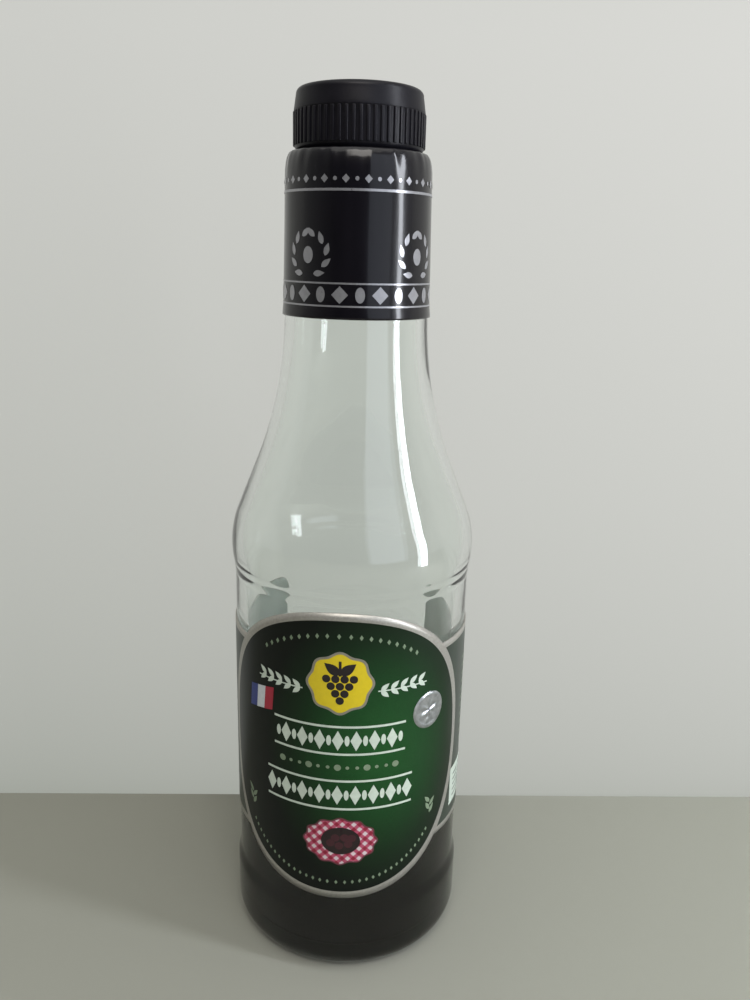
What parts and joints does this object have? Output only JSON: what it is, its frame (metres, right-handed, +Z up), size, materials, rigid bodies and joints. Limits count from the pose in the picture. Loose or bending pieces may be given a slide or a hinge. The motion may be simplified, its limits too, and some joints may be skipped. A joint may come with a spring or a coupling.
{
  "type": "vinegar bottle",
  "caption": "Part-full round glass vinegar bottle with a sloping shoulder, wrap label with an oval shield, black neck sleeve and ribbed screw cap.",
  "frame": {"origin": "centre of the bottle's foot, on the surface it stands on", "axes": "+Z up along the bottle's axis, -Y towards the middle of the label's shield, +X to its right"},
  "size_m": [0.0572, 0.0572, 0.2003],
  "materials": {
    "clear_glass": "clear, faint grey-green tint",
    "dark_vinegar": "very dark red-brown liquid",
    "printed_film": "green printed film with a silver border",
    "black_film": "black shrink film with silver print",
    "black_collar": "black moulded polypropylene",
    "black_cap": "black moulded polypropylene, satin"
  },
  "bodies": {
    "root": {"glass_bottle": "clear_glass", "vinegar": "dark_vinegar", "wrap_label": "printed_film", "neck_sleeve": "black_film", "pourer_collar": "black_collar", "screw_cap": "black_cap"}
  },
  "joints": []
}
